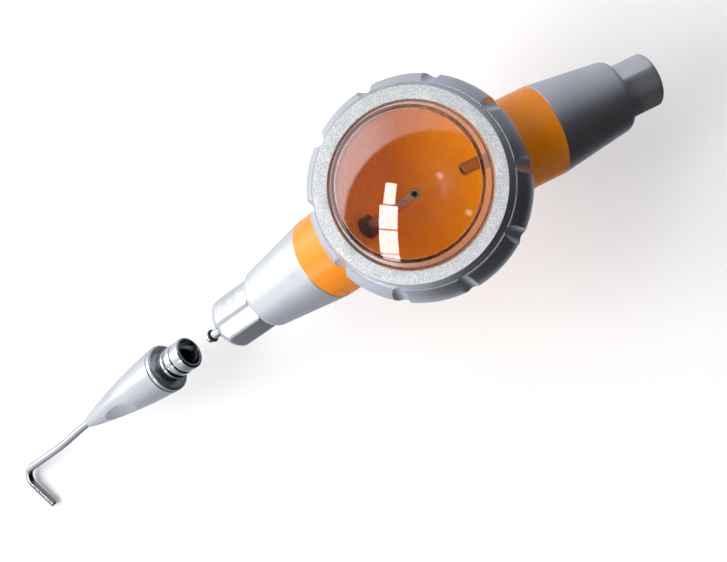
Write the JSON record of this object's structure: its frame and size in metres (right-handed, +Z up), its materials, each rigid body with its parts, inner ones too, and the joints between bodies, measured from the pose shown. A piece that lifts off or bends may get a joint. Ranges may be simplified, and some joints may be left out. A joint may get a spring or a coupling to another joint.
{
  "type": "dental air-polishing handpiece",
  "caption": "Powder-jet handpiece with a domed powder bowl, two drooping metal-sleeved arms and a bent-tube nozzle drawn off its front end.",
  "frame": {"origin": "centre of the hose socket's mouth, at the rear end", "axes": "+X forward, from the hose end to the nozzle; +Z up, along the cap's axis; +Y to the left, seen from behind"},
  "size_m": [0.1874, 0.0474, 0.0766],
  "materials": {
    "orange_body": "gloss",
    "ring_metal": "blasted",
    "clear_cover": "clear",
    "white_ptfe": "matt",
    "silicone": "matt",
    "satin_metal": "satin",
    "chrome": "polished",
    "dark_rubber": "matt",
    "steel": "satin",
    "brass": "turned",
    "nozzle_metal": "satin"
  },
  "bodies": {
    "handpiece": {"powder_bowl": "orange_body", "rear_sleeve": "satin_metal", "rear_sleeve_seal": "dark_rubber", "hose_socket": "chrome", "socket_seal": "dark_rubber", "air_feed_pipe": "steel", "valve_seat": "brass", "valve_spring": "steel", "inlet_bush": "brass", "air_inlet_tube": "brass", "water_pipe": "steel", "outlet_bush": "brass", "outlet_tube": "steel", "powder_pipe": "steel", "front_collar": "satin_metal", "collar_seal": "dark_rubber", "front_nut": "chrome", "spigot": "steel", "spigot_o_ring": "dark_rubber", "snap_ring": "steel", "nut_seal": "dark_rubber"},
    "cover": {"cap_lens": "clear_cover", "glide_washer": "white_ptfe", "cap_gasket": "silicone"},
    "ring": {"cap_ring": "ring_metal"},
    "plug": {"nozzle_plug": "chrome", "swivel_seal": "dark_rubber"},
    "nozzle_head": {"nozzle_cone": "nozzle_metal", "nozzle_bush": "brass", "nozzle_outer_tube": "steel", "nozzle_powder_tube": "steel", "swivel_clip": "steel"},
    "valve_ball": {"valve_ball": "steel"}
  },
  "joints": [
    {"name": "cap_lift", "type": "slide", "parent": "handpiece", "child": "cover", "axis": [0, 0, 1], "range_m": [0, 0.012]},
    {"name": "ring_turn", "type": "hinge", "parent": "cover", "child": "ring", "pos_m": [0.05123, 0, 0.03739], "axis": [0, 0, 1], "range_deg": [0, 720]},
    {"name": "nozzle_pull", "type": "slide", "parent": "handpiece", "child": "plug", "axis": [0.9205, 0, -0.3907], "range_m": [-0.022, 0]},
    {"name": "nozzle_swivel", "type": "hinge", "parent": "plug", "child": "nozzle_head", "pos_m": [0.13224, 0, -0.0094], "axis": [0.9205, 0, -0.3907], "continuous": true},
    {"name": "valve_lift", "type": "slide", "parent": "handpiece", "child": "valve_ball", "axis": [0.8988, 0, 0.4384], "range_m": [0, 0.0012], "stiffness_N_per_m": 40, "springref_m": -0.002, "deforming": ["valve_spring"]}
  ],
  "couplings": [
    {"joint": "cap_lift", "follows": "ring_turn", "m_per_rad": 0.00095493}
  ]
}
